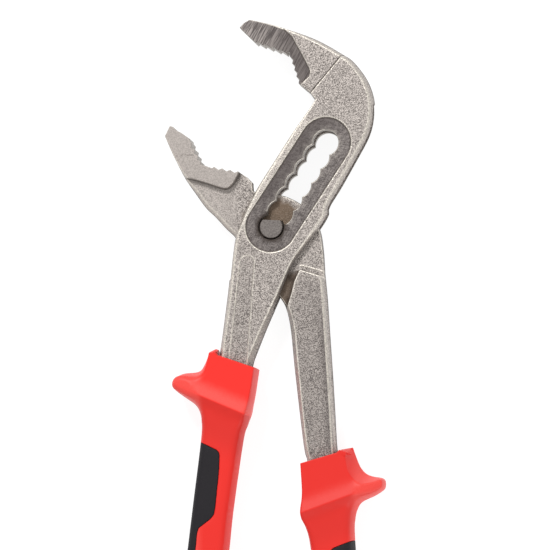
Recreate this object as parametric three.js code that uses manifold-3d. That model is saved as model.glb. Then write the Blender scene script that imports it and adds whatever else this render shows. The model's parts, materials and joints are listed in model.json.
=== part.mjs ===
// Box-joint tongue and groove pliers, 250 mm long when closed, lying flat.
// X runs across the handles, +Y towards the jaws, +Z up. Everything is drawn in millimetres
// around the pivot pin, with z = 0 on the middle plane, and moved to its footprint at the end.
import * as THREE from "three";
import { mergeVertices } from "three/addons/utils/BufferGeometryUtils.js";
import Module from "manifold-3d";

const wasm = await Module();
wasm.setup();

// ---- driving dimensions ---------------------------------------------------------------
const BODY_HALF = 5.65; // half thickness of the forged levers
const JAW_HALF = 4.9; // half thickness of both jaws
const GROUND_HALF = 4.5; // half thickness of the upper jaw's ground flank
const TONGUE_HALF = 2.2; // half thickness of the tongue
const GRIP_HALF = 10; // half thickness of the sleeves
const GUARD_HALF = 7; // half thickness of the finger guards
const GAP = 0.3; // clearance between neighbouring pieces

const SLOT_ANGLE = THREE.MathUtils.degToRad(56.66); // slot axis, from +X
const SLOT_TRAVEL = 40;
const SLOT_STEPS = 6; // seven positions
const SCALLOP_R = 5.15;
const POCKET_R = 10.1; // milled pocket around the slot
const POCKET_DEPTH = 0.5;
const PIN_R = SCALLOP_R - GAP;
const PIN_FLAT = 2.75; // pin centre to its flat
const OPEN_ANGLE = THREE.MathUtils.degToRad(60); // opening at which the flat passes the slot
const PIN_HALF = BODY_HALF - POCKET_DEPTH - 0.25;

const INLAY_DEPTH = 1.6;
const THROUGH = 30; // reach of a cutter that goes right through

// Left handle's frame to the right handle's: mirrored, turned and moved down the handle.
const HANDLE_TURN = THREE.MathUtils.degToRad(-3.1);
const LEFT_MOUTH = [-15.7, -53];
const RIGHT_MOUTH = [21.4, -91.5];

// ---- outlines -------------------------------------------------------------------------
const smooth = (points, divisions) =>
  new THREE.SplineCurve(points.map(([x, y]) => new THREE.Vector2(x, y)))
    .getPoints(divisions)
    .map((p) => [p.x, p.y]);

// Saw teeth from one tip to another, cut to the right of the direction of travel. The root
// lies at a fraction of the pitch, at a depth.
function teeth([x0, y0], [x1, y1], count, rootAt, depth) {
  const length = Math.hypot(x1 - x0, y1 - y0);
  const [ux, uy] = [(x1 - x0) / length, (y1 - y0) / length];
  const pitch = length / count;
  const points = [[x0, y0]];
  for (let i = 0; i < count; i += 1) {
    const root = (i + rootAt) * pitch;
    const tip = (i + 1) * pitch;
    points.push([x0 + ux * root + uy * depth, y0 + uy * root - ux * depth]);
    points.push([x0 + ux * tip, y0 + uy * tip]);
  }
  return points;
}

function arc(cx, cy, radius, from, to, steps) {
  const points = [];
  for (let i = 0; i <= steps; i += 1) {
    const a = from + ((to - from) * i) / steps;
    points.push([cx + radius * Math.cos(a), cy + radius * Math.sin(a)]);
  }
  return points;
}

function slottedLeverOutline() {
  const upperBack = [[-9, 84.4], [-1.5, 82.6], [6, 80.6], [17.8, 76], [28.4, 69.8], [33, 66.4],
    [37.8, 60], [40.4, 54], [41.4, 48], [41, 41.8], [39.3, 36], [36.2, 30]];
  const handleRight = [[19.1, -1.2], [11.8, -10.2], [8, -16.2], [3.1, -28.2], [-2.5, -41], [-7.3, -53]];
  const handleLeft = [[-24, -66], [-21.1, -48.6], [-18.2, -26.6], [-16.4, -10], [-15.1, -2.6],
    [-13.9, 0.4], [-10.3, 8.7], [-5.8, 17.1], [0.7, 27.3], [8.5, 39.1], [14.9, 47.4], [17.5, 51]];
  return [
    [-13, 81.1], [-11.4, 82.9], ...smooth(upperBack, 26), [28.3, 16.1], [23, 7.6], [22.8, 4.7],
    ...handleRight, ...TANG, ...handleLeft, [15.2, 54.2], [11.2, 57.7],
    ...teeth([11, 57.8], [7.6, 68.6], 4, 0.5, 0.9), [7.5, 70.2], [6.5, 70.9],
    ...teeth([5.9, 70.1], [-6.3, 74.6], 4, 0.88, 0.75),
  ];
}

function throughLeverOutline() {
  const boss = [[-7.6, 15], [-3, 13.7], [3.2, 13.2], [7.7, 11.6], [11.4, 9.4], [15.6, 5.2],
    [19.2, -1.2], [20.6, -9.3], [21.2, -18.8]];
  const handleRight = [[22.2, -29.1], [23, -41.1], [24.6, -65.6], [25.7, -86]];
  const tang = toRightHandle([...TANG].reverse());
  const handleLeft = [[13.7, -92.4], [12.3, -86], [8.9, -57], [7.3, -41],
    [5.5, -32.6], [3.5, -28.7]];
  const jawBack = [[-15.7, -2.9], [-19, 0.2], [-23, 4.6], [-27.1, 8.6], [-31.3, 14.4],
    [-35.7, 20.8], [-39.8, 28.9], [-43.4, 37.5]];
  return [
    ...jawBack, [-41.2, 41.6], [-39.8, 41.1], [-38.4, 39.6], [-36.7, 38.8], [-33.1, 36.2],
    [-32.9, 35.3], ...teeth([-32.1, 34.2], [-28.4, 26.7], 3, 0.45, 1.05), [-28.6, 25.7],
    [-26.2, 24.9], [-24, 24.1], ...teeth([-23.1, 24.6], [-13.4, 22.6], 3, 0.62, 0.85),
    [-10.1, 20.5], [-7.9, 18.2], ...smooth(boss, 18), ...handleRight, ...tang, ...handleLeft,
  ];
}

// The part of a lever's outline inside a zone is made as a plate, then cut by the zone.
const JAW_ZONE = [[28.1, 68.2], [40, 80], [-20, 96], [-30, 70], [5, 46], [15.8, 53.6]];
const GROUND_ZONE = [[5.3, 79.6], [8.3, 76.9], [11.9, 70.3], [15.2, 64], [15.7, 62.3],
  [15.2, 60.4], [10, 55.6], [-25, 66], [-20, 96], [4, 90]];
const LOWER_JAW_ZONE = [[-50, 26], [-35.4, 20.6], [-31.4, 19.7], [-25.2, 17.7], [-20, 15.9],
  [-17.4, 15.9], [-15.2, 17.9], [-12.2, 23.4], [-12, 50], [-50, 50]];
const RIGHT_HANDLE_ZONE = [[10.8, -17.3], [19.4, -19.9], [30, -24], [60, -100], [60, -200],
  [0, -200], [3, -60], [5, -36], [6.4, -31.5], [7.7, -27.5], [9.1, -22]];

// Space between the cheeks that the tongue needs over its whole turn and slide.
const WINDOW = [[16.9, 50.8], [20.8, 49.2], [24.5, 50.6], [32, 51.2], [40.5, 49], [52, 49],
  [46, 20], [30, -10], [5, -34], [0.5, -33.2], [-0.9, -29.8], [-8, -17.2], [-14.5, -19.4], [-19.5, -21.8],
  [-28, -18], [-28, 0], [4, 44]];

// Grip sleeves seen from above, both drawn on the left handle.
const LEFT_GUARD_SIDE = [[-27.6, -54.8], [-29.9, -57.4], [-35.2, -57.9], [-38.6, -59.4],
  [-39.8, -61.6], [-39.9, -63.5], [-38.5, -65.3], [-34.8, -68], [-31.2, -70.6], [-29.4, -73.4],
  [-28.7, -77]];
const RIGHT_GUARD_SIDE = [[-27.9, -53], [-29.6, -56.5], [-31.9, -58.9], [-34.6, -59.9],
  [-38.6, -60.4], [-39.9, -61.6], [-40, -63.8], [-39.1, -65.3], [-36, -67.5], [-31.1, -70.2],
  [-29.3, -73.2], [-28.6, -77]];
const GRIP_OUTER_SIDE = [[-28.8, -84], [-31.8, -108.5], [-34.2, -128.4], [-36.4, -148],
  [-37.6, -158], [-36, -164.5], [-31, -166.3]];
const GRIP_INNER_SIDE = [[-25, -164.6], [-22, -158], [-19.7, -145], [-17.4, -128.4], [-15.7, -112.5]];
const LEFT_INNER_END = [[-11.8, -85.4], [-10.1, -78.8], [-8.9, -74.2], [-8.3, -70.9], [-7.4, -65.7]];
const RIGHT_INNER_END = [[-11.7, -91], [-10.3, -84.8], [-8.9, -81.2], [-7.4, -78.4], [-6.8, -75],
  [-7.2, -70], [-7.1, -65.7]];
const LEFT_LIP = [[-6.1, -56.4], [-20.9, -51.2], [-21.3, -48.9], [-22.9, -48.3], [-25.5, -49.5]];
const RIGHT_LIP = [[-6.1, -56.4], [-20.9, -51.2], [-21.4, -49.9], [-26.2, -48.9]];
const GUARD_ZONE = [[-27.8, -48], [-29, -76], [-60, -80], [-60, -48]];
const TANG = [[-12.6, -75], [-20, -110], [-25, -146], [-29, -148], [-32.5, -146], [-29, -110]];
const TANG_CAVITY = [[-21.3, -40], [-21.9, -50.5], [-24.6, -66], [-29.5, -110],
  [-33, -147], [-29, -149], [-24.5, -147], [-19.5, -110], [-12.1, -75], [-6.8, -53], [-3.6, -44]];
const INLAY_ZONE = [[-50, -75.5], [-21.4, -88.8], [-20, -91], [-20.2, -97], [-21.9, -113.4],
  [-23.5, -116.2], [-28.2, -119.8], [-30.2, -136], [-31.8, -152], [-36, -157], [-50, -157]];

function toRightHandle(points) {
  const [c, s] = [Math.cos(HANDLE_TURN), Math.sin(HANDLE_TURN)];
  return points.map(([x, y]) => {
    const [dx, dy] = [LEFT_MOUTH[0] - x, y - LEFT_MOUTH[1]];
    return [RIGHT_MOUTH[0] + dx * c - dy * s, RIGHT_MOUTH[1] + dx * s + dy * c];
  });
}

// ---- solids ---------------------------------------------------------------------------
function toSolid(geometry) {
  const bare = geometry.clone();
  bare.deleteAttribute("normal");
  bare.deleteAttribute("uv");
  const merged = mergeVertices(bare, 1e-4);
  return new wasm.Manifold(new wasm.Mesh({
    numProp: 3,
    vertProperties: new Float32Array(merged.attributes.position.array),
    triVerts: new Uint32Array(merged.index.array),
  }));
}

function toGeometry(solid) {
  const mesh = solid.getMesh();
  const geometry = new THREE.BufferGeometry();
  geometry.setAttribute("position", new THREE.BufferAttribute(mesh.vertProperties, 3));
  geometry.setIndex(new THREE.BufferAttribute(mesh.triVerts, 1));
  geometry.computeVertexNormals();
  return geometry;
}

// Flat plate of an outline between two heights; a bevel eats into the outline.
function plate(points, low, high, bevel = 0) {
  const shape = new THREE.Shape(points.map(([x, y]) => new THREE.Vector2(x, y)));
  const geometry = new THREE.ExtrudeGeometry(shape, {
    depth: high - low - 2 * bevel,
    bevelEnabled: bevel > 0,
    bevelThickness: bevel,
    bevelSize: bevel,
    bevelOffset: -bevel,
    bevelSegments: 1,
  });
  geometry.translate(0, 0, low + bevel);
  return toSolid(geometry);
}

const slab = (points, half) => plate(points, -half, half);

// Cuts a zone of a solid down to a smaller half thickness, on both faces.
const thin = (solid, zone, half) =>
  solid.subtract(plate(zone, half, THROUGH)).subtract(plate(zone, -THROUGH, -half));

const slotPoint = (along) => [along * Math.cos(SLOT_ANGLE), along * Math.sin(SLOT_ANGLE)];

function scallopedSlot() {
  let slot = null;
  for (let i = 0; i <= SLOT_STEPS; i += 1) {
    const [x, y] = slotPoint((SLOT_TRAVEL * i) / SLOT_STEPS);
    const hole = slab(arc(x, y, SCALLOP_R, 0, 2 * Math.PI, 28).slice(1), THROUGH);
    slot = slot ? slot.add(hole) : hole;
  }
  return slot;
}

function slotPocketZone() {
  const [x, y] = slotPoint(SLOT_TRAVEL);
  const quarter = Math.PI / 2;
  return [
    ...arc(x, y, POCKET_R, SLOT_ANGLE - quarter, SLOT_ANGLE + quarter, 14),
    ...arc(0, 0, POCKET_R, SLOT_ANGLE + quarter, SLOT_ANGLE + 3 * quarter, 14),
  ];
}

function slottedLever() {
  let lever = slab(slottedLeverOutline(), BODY_HALF);
  lever = thin(lever, JAW_ZONE, JAW_HALF);
  lever = thin(lever, GROUND_ZONE, GROUND_HALF);
  lever = thin(lever, slotPocketZone(), BODY_HALF - POCKET_DEPTH);
  return lever.subtract(slab(WINDOW, TONGUE_HALF + GAP)).subtract(scallopedSlot());
}

function throughLever() {
  const outline = throughLeverOutline();
  const bore = slab(arc(0, 0, PIN_R + GAP, 0, 2 * Math.PI, 28).slice(1), THROUGH);
  return slab(outline, TONGUE_HALF)
    .add(slab(outline, JAW_HALF).intersect(slab(LOWER_JAW_ZONE, THROUGH)))
    .add(slab(outline, BODY_HALF).intersect(slab(RIGHT_HANDLE_ZONE, THROUGH)))
    .subtract(bore);
}

// Round where it sits in the tongue, D-shaped where it sits in the slot.
function pivotPin() {
  const flatDirection = SLOT_ANGLE - OPEN_ANGLE;
  const reach = Math.acos(PIN_FLAT / PIN_R);
  const top = flatDirection + Math.PI / 2;
  const dee = arc(0, 0, PIN_R, top + reach, top - reach + 2 * Math.PI, 24);
  const round = arc(0, 0, PIN_R, 0, 2 * Math.PI, 28).slice(1);
  return slab(dee, PIN_HALF).add(slab(round, TONGUE_HALF));
}

function gripOutline(guardSide, innerEnd, lip) {
  return [...smooth([...guardSide, ...GRIP_OUTER_SIDE], 38),
    ...smooth([...GRIP_INNER_SIDE, ...innerEnd], 20), ...lip];
}

// Sleeve and inlay share one outer surface; the inlay fills a shallow pocket on the outer side.
function grip(place, guardSide, innerEnd, lip) {
  const outline = place(gripOutline(guardSide, innerEnd, lip));
  const outer = thin(plate(outline, -GRIP_HALF, GRIP_HALF, 1.5), place(GUARD_ZONE), GUARD_HALF);
  const core = (depth) => plate(outline, -GRIP_HALF, GRIP_HALF, 1.5)
    .intersect(slab(place(insetOuterSide(depth)), GRIP_HALF - depth));
  const zone = slab(place(INLAY_ZONE), THROUGH);
  const sleeve = outer.subtract(zone.subtract(core(INLAY_DEPTH + GAP)))
    .subtract(slab(place(TANG_CAVITY), BODY_HALF + GAP));
  const shifted = (dy) => slab(place(INLAY_ZONE.map(([x, y]) => [x - GAP, y + dy])), THROUGH);
  const inlay = outer.intersect(shifted(-GAP)).intersect(shifted(GAP)).subtract(core(INLAY_DEPTH));
  return { sleeve, inlay };
}

// Region inboard of the sleeve's outer side, moved in by a depth.
function insetOuterSide(depth) {
  const side = [[-28.5, -70], [-28.8, -84], [-31.8, -108.5], [-34.2, -128.4], [-36.4, -148], [-37.6, -160]];
  return [...side.map(([x, y]) => [x + depth, y]), [5, -160], [5, -70]];
}

// ---- assembly -------------------------------------------------------------------------
const steel = { color: 0xaaa098, roughness: 0.45, metalness: 0.85 };
const pinSteel = { color: 0x8f8882, roughness: 0.4, metalness: 0.9 };
const redGrip = { color: 0xe8392f, roughness: 0.45, metalness: 0 };
const blackGrip = { color: 0x2b2e31, roughness: 0.6, metalness: 0 };

const left = grip((points) => points, LEFT_GUARD_SIDE, LEFT_INNER_END, LEFT_LIP);
const right = grip(toRightHandle, RIGHT_GUARD_SIDE, RIGHT_INNER_END, RIGHT_LIP);

const pieces = [
  ["slotted_lever", slottedLever(), steel],
  ["through_lever", throughLever(), steel],
  ["pivot_pin", pivotPin(), pinSteel],
  ["left_grip_sleeve", left.sleeve, redGrip],
  ["left_grip_inlay", left.inlay, blackGrip],
  ["right_grip_sleeve", right.sleeve, redGrip],
  ["right_grip_inlay", right.inlay, blackGrip],
];

const pliers = new THREE.Group();
for (const [name, solid, look] of pieces) {
  const mesh = new THREE.Mesh(toGeometry(solid), new THREE.MeshStandardMaterial(look));
  mesh.name = name;
  pliers.add(mesh);
}

// The origin is the middle of the footprint, on the plane that the sleeves lie on.
const box = new THREE.Box3().setFromObject(pliers);
const centre = box.getCenter(new THREE.Vector3());
pliers.position.set(-centre.x, -centre.y, -box.min.z);

export default pliers;
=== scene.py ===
"""Looks of the box-joint tongue and groove pliers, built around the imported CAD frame.

Shapes are drawn in millimetres in the CAD drawing's own axes: the pivot pin's axis is at
(0, 0), z = 0 is the middle plane and +Y points to the jaws. Every metal or moulded piece is a
relief: a flat domain whose front rises to a height worked out point by point, mirrored to the
back, with a mesh that follows the outline and every rounded edge. PIN, which is read from the
frame, moves the finished mesh into place.
"""
import json
import math

import bpy
import numpy as np
from mathutils import Matrix, Vector
from mathutils.geometry import delaunay_2d_cdt


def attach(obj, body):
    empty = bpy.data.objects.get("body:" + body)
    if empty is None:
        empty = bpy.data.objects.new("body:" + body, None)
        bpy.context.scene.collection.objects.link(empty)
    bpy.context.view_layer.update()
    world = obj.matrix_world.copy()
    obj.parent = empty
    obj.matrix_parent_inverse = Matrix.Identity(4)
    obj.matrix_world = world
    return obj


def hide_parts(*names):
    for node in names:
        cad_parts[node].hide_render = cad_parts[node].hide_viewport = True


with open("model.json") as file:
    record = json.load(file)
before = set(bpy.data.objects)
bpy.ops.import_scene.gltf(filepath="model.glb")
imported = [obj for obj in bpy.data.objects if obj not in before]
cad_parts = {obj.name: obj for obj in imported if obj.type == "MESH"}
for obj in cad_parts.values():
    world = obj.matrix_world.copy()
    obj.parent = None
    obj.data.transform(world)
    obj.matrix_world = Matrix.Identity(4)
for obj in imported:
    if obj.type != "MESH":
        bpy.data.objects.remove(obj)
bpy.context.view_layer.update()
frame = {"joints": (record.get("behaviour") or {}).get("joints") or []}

MM = 0.001
PIN = Vector(next(j for j in frame["joints"] if j["name"] == "jaw_pivot")["pos_m"])

# ---- driving dimensions, in millimetres, as the CAD has them ----
BODY_HALF = 5.65
JAW_HALF = 4.9
GROUND_HALF = 4.5
TONGUE_HALF = 2.2
GAP = 0.3
SLOT_ANGLE = math.radians(56.66)
SLOT_TRAVEL = 40.0
SLOT_STEPS = 6
SCALLOP_R = 5.15
POCKET_R = 10.1
POCKET_DEPTH = 0.5
PIN_HALF = BODY_HALF - POCKET_DEPTH - 0.25
PIN_FLAT = 2.75  # pin centre to its flat
OPEN_ANGLE = math.radians(60)  # opening at which the flat passes the slot
FLAT_ANGLE = SLOT_ANGLE - OPEN_ANGLE + math.pi / 2
GRIP_HALF = 10.0
INLAY_DEPTH = 1.6
HANDLE_TURN = math.radians(-3.1)
LEFT_MOUTH = np.array([-15.7, -53.0])
RIGHT_MOUTH = np.array([21.4, -91.5])

# ---- fits and small features of the visual pieces, in millimetres ----
PIN_R = SCALLOP_R - GAP - 0.1
COLLAR_R = PIN_R + 0.25  # round middle of the pin, which fills the tongue's bore
BORE_CLEARANCE = 0.02
SHOULDER_DROP = 0.3  # how far inside the bore the pin's round face begins
INLAY_GAP = 0.12  # groove between the sleeve and the inlay
HOLLOW_CLEARANCE = 0.2  # between the sleeve's sunk face and the inlay around it
FLASH = 0.12  # half height of the parting line left at the silhouette
MACHINED = 0.15  # draft of an edge that was cut, not forged
BEAD_RISE = 0.12  # low forging bead on the tongue, above the handle's step

# ---- how fine the meshes are, in millimetres ----
PITCH = 0.3  # grid that the fields are sampled on
LOOSE_PITCH = 2.4  # free points in flat areas
LONGEST_STEP = 1.2
STRAIGHT = 0.012  # how far a point may lie off a run that drops it
ROUND_LEVELS = (-0.4, 0.0, 0.28, 0.55, 0.78, 0.93)  # edge loops across a rounded edge
PIN_PITCH = 0.15
CORE_PITCH = 0.6
ROWS_AT_ONCE = 20000  # points per block, which limits the memory for distances
WELD = 1e-3
FACE_BAND = 0.05  # a point this near its relief's top belongs to the front or back face


# ---- outlines ----
def spline(points, divisions):
    """Smooth curve through the points, whose extra columns are carried along."""
    knots = np.array(points, float)
    last = len(knots) - 1
    made = []
    for i in range(divisions + 1):
        place = last * i / divisions
        k = min(int(place), last - 1)
        t = place - k
        before, here, there, after = (knots[min(max(j, 0), last)] for j in (k - 1, k, k + 1, k + 2))
        v0, v1 = (there - before) / 2, (after - here) / 2
        cubic = (2 * here - 2 * there + v0 + v1) * t**3
        made.append(cubic + (-3 * here + 3 * there - 2 * v0 - v1) * t**2 + v0 * t + here)
    return [list(p) for p in made]


def edge(points, draft, radius):
    """Gives each point of an outline the same draft width and edge radius."""
    return [[p[0], p[1], draft, radius] for p in points]


def teeth(start, end, count, root, depth):
    """Saw teeth from one tip to another, cut to the right of the direction of travel.

    The root lies at a fraction of the pitch, at a depth.
    """
    a, b = np.array(start, float), np.array(end, float)
    step = (b - a) / count
    along = step / np.linalg.norm(step)
    inward = np.array([along[1], -along[0]]) * depth
    points = [a]
    for i in range(count):
        points += [a + step * (i + root) + inward, a + step * (i + 1)]
    return edge(points, MACHINED, 0.06)


def slotted_lever_outline():
    back = [[-9, 84.4, .3, .2], [-1.5, 82.6, .35, .3], [6, 80.6, .8, .5], [17.8, 76, 1.5, .7],
            [28.4, 69.8, 1.6, .7], [33, 66.4, 1.5, .8], [37.8, 60, 1.5, .8], [40.4, 54, 1.5, .8],
            [41.4, 48, 1.5, .8], [41, 41.8, 1.5, .8], [39.3, 36, 1.5, .8], [36.2, 30, 1.5, .8]]
    right = [[36.2, 30, 1.5, .8], [28.3, 16.1, 1.5, .8], [23.4, 8.2, 1.4, .8], [22.8, 4.7, 1.3, .8],
             [19.1, -1.2, 1.1, .8], [11.8, -10.2, .6, .6], [8, -16.2, .6, .6], [3.1, -28.2, .9, .7],
             [-2.5, -41, 1.3, .7], [-7.3, -53, 1.8, .7]]
    tang = edge([[-12.6, -75], [-20, -110], [-25, -146], [-29, -148], [-32.5, -146], [-29, -110]], 1.5, .7)
    left = [[-24, -66, 1.6, .8], [-21.1, -48.6, 1.8, .8], [-18.2, -26.6, 1.8, .8], [-16.4, -10, 1.8, .8],
            [-15.1, -2.6, 1.7, .8], [-13.9, .4, 1.6, .8], [-10.3, 8.7, 1.4, .9], [-5.8, 17.1, 1.3, .9],
            [.7, 27.3, 1.3, .9], [8.5, 39.1, 1.1, .8], [14.9, 47.4, .7, .6], [17.5, 51, .5, .4]]
    throat = [[15.2, 54.2, .4, .3], [11.2, 57.7, MACHINED, .15]]
    corner = edge([[7.5, 70.2], [6.5, 70.9]], MACHINED, .1)
    tip = edge([[-13, 81.1], [-11.4, 82.9]], MACHINED, .15)
    return (spline(back, 70) + spline(right, 60)[1:] + tang + spline(left, 60) + throat
            + teeth([11, 57.8], [7.6, 68.6], 4, .5, .9) + corner
            + teeth([5.9, 70.1], [-6.3, 74.6], 4, .88, .75) + tip)


def through_lever_outline():
    back = [[-15.7, -2.9, 3.8, .5], [-19, .2, 3.8, .5], [-23, 4.6, 3.8, .5], [-27.1, 8.6, 3.8, .5],
            [-31.3, 14.4, 3.6, .5], [-35.7, 20.8, 1.2, .4], [-39.8, 28.9, .5, .3], [-43.4, 37.5, .3, .2]]
    tip = edge([[-41.2, 41.6], [-39.8, 41.1], [-38.4, 39.6], [-36.7, 38.8], [-33.1, 36.2],
                [-32.9, 35.3]], MACHINED, .12)
    throat = edge([[-28.6, 25.7], [-26.2, 24.9], [-24, 24.1]], MACHINED, .1)
    boss = edge([[-10.1, 20.5], [-7.9, 18.2]], .5, .25) + spline(edge(
        [[-7.6, 15], [-3, 13.7], [3.2, 13.2], [7.7, 11.6], [11.4, 9.4], [15.6, 5.2], [19.2, -1.2],
         [20.6, -9.3], [21.2, -18.8]], 1.0, .3), 40)
    right = [[21.2, -18.8, 1.1, .7], [22.2, -29.1, 1.3, .7], [23, -41.1, 1.3, .7],
             [24.6, -65.6, 1.3, .7], [25.7, -86, 1.3, .7]]
    tang = [[-12.6, -75], [-20, -110], [-25, -146], [-29, -148], [-32.5, -146], [-29, -110]]
    tang = edge(to_right_handle(np.array(tang[::-1], float)), 1.2, .7)
    left = [[13.7, -92.4, 1.6, .6], [12.3, -86, 1.7, .6], [8.9, -57, 2.0, .6], [7.3, -41, 2.1, .6],
            [5.5, -32.6, 1.5, .5], [3.5, -28.7, .8, .4]]
    return (spline(back, 40) + tip + teeth([-32.1, 34.2], [-28.4, 26.7], 3, .45, 1.05)
            + throat + teeth([-23.1, 24.6], [-13.4, 22.6], 3, .62, .85)
            + boss + spline(right, 30)[1:] + tang + spline(left, 36))


def to_right_handle(points):
    """Left handle's frame to the right handle's: mirrored, turned and moved down."""
    c, s = math.cos(HANDLE_TURN), math.sin(HANDLE_TURN)
    dx, dy = LEFT_MOUTH[0] - points[:, 0], points[:, 1] - LEFT_MOUTH[1]
    return np.stack([RIGHT_MOUTH[0] + dx * c - dy * s, RIGHT_MOUTH[1] + dx * s + dy * c], 1)


def scalloped_slot():
    """Loop round the union of the seven pin positions."""
    pitch = SLOT_TRAVEL / SLOT_STEPS
    neck = math.acos(pitch / 2 / SCALLOP_R)
    loop = []
    for side in (-1, 1):
        order = range(SLOT_STEPS + 1) if side < 0 else range(SLOT_STEPS, -1, -1)
        for i in order:
            low = math.pi if i == 0 else math.pi - neck
            high = 0.0 if i == SLOT_STEPS else neck
            start, end = (-low, -high) if side < 0 else (high, low)
            for a in np.linspace(start, end, 14 if low - high < 2.5 else 24):
                x = pitch * i + SCALLOP_R * math.cos(a)
                y = SCALLOP_R * math.sin(a)
                loop.append([x * math.cos(SLOT_ANGLE) - y * math.sin(SLOT_ANGLE),
                             x * math.sin(SLOT_ANGLE) + y * math.cos(SLOT_ANGLE)])
    return edge(loop, .5, .15)


def circle(radius, steps=72):
    turn = np.linspace(0, 2 * math.pi, steps, endpoint=False)
    return edge(np.stack([radius * np.cos(turn), radius * np.sin(turn)], 1), MACHINED, .1)


# ---- distances ----
def nearest(p, loop):
    """Distance to a closed loop, and the loop's extra columns at the nearest point."""
    a = np.array(loop, float)
    b = np.roll(a, -1, 0)
    run = b[:, :2] - a[:, :2]
    length2 = np.maximum((run**2).sum(1), 1e-12)
    distance = np.empty(len(p))
    extra = np.empty((len(p), a.shape[1] - 2))
    for first in range(0, len(p), ROWS_AT_ONCE):
        block = slice(first, first + ROWS_AT_ONCE)
        q = p[block]
        dx = q[:, None, 0] - a[None, :, 0]
        dy = q[:, None, 1] - a[None, :, 1]
        t = np.clip((dx * run[:, 0] + dy * run[:, 1]) / length2, 0, 1)
        dx = dx - t * run[:, 0]
        dy = dy - t * run[:, 1]
        d2 = dx * dx + dy * dy
        k = d2.argmin(1)
        rows = np.arange(len(q))
        distance[block] = np.sqrt(d2[rows, k])
        part = t[rows, k][:, None]
        extra[block] = a[k, 2:] * (1 - part) + b[k, 2:] * part
    return distance, extra


def inside(p, loops):
    """Even-odd test against closed loops."""
    odd = np.zeros(len(p), bool)
    for loop in loops:
        a = np.array(loop, float)[:, :2]
        b = np.roll(a, -1, 0)
        for (x0, y0), (x1, y1) in zip(a, b):
            if y0 != y1:
                spans = (p[:, 1] > y0) != (p[:, 1] > y1)
                odd ^= spans & (p[:, 0] < (x1 - x0) * (p[:, 1] - y0) / (y1 - y0) + x0)
    return odd


def depth_in(p, loop):
    """Signed distance inside a closed loop, and its extra columns."""
    distance, extra = nearest(p, loop)
    return np.where(inside(p, [loop]), distance, -distance), extra


def capsule(p, start, end, radius):
    """Distance outside a round-ended slot shape."""
    a, run = np.array(start), np.array(end) - np.array(start)
    t = np.clip(((p - a) @ run) / max(run @ run, 1e-9), 0, 1)
    return np.linalg.norm(p - a - t[:, None] * run, axis=1) - radius


def along_line(p, line):
    """Distance from an open line of points."""
    return np.min([capsule(p, a, b, 0) for a, b in zip(line, line[1:])], 0)


def slot_point(along):
    return np.array([along * math.cos(SLOT_ANGLE), along * math.sin(SLOT_ANGLE)])


def slot_axes(p):
    """How far points lie along the slot from its lowest scallop, and to the left of it."""
    c, s = math.cos(SLOT_ANGLE), math.sin(SLOT_ANGLE)
    return p @ np.array([c, s]), p @ np.array([-s, c])


# ---- height profiles ----
def rise(s, low, high, reach, radius):
    """Wall that climbs from low to high over reach, with a rounded top edge.

    Returns the height, and how far into the rounding each point lies (0 where the flat
    begins, 1 about where the wall begins), which places the mesh's edge loops.
    """
    lean = np.arctan((high - low) / reach)
    flat = reach + radius * np.tan(lean / 2)
    wall = low + np.maximum(s, 0) * (high - low) / reach
    arc = high - radius + np.sqrt(np.maximum(radius**2 - np.clip(flat - s, 0, radius)**2, 0))
    height = np.where(s >= flat, high, np.where(s <= flat - radius * np.sin(lean), wall, arc))
    return height, (flat - s) / radius


def worn(into):
    """Hat that peaks on a rounded edge."""
    return np.sin(math.pi * np.clip((into + 0.35) / 1.45, 0, 1))


def smooth_step(t):
    t = np.clip(t, 0, 1)
    return t * t * (3 - 2 * t)


def course(s, stops):
    """Smooth steps through (s, value) stops."""
    value = np.full(np.shape(s), float(stops[0][1]))
    for (s0, v0), (s1, v1) in zip(stops, stops[1:]):
        value = value + (v1 - v0) * smooth_step((s - s0) / (s1 - s0))
    return value


# What a material reads from the mesh's points, 0 for none: worn bright, partly as a painted
# highlight; ground flat; darker, partly as painted shade; even in tone; dirty, and painted shade
# in corners, at the feet of steps and along silhouettes; ground in stripes; brown with oil and
# painted shade on the steel, but a painted highlight on a sleeve. The inlays store none of them.
MASKS = ("wear_and_highlight", "ground", "dark", "calm", "dirt_and_shade", "stripe", "oil")


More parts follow.
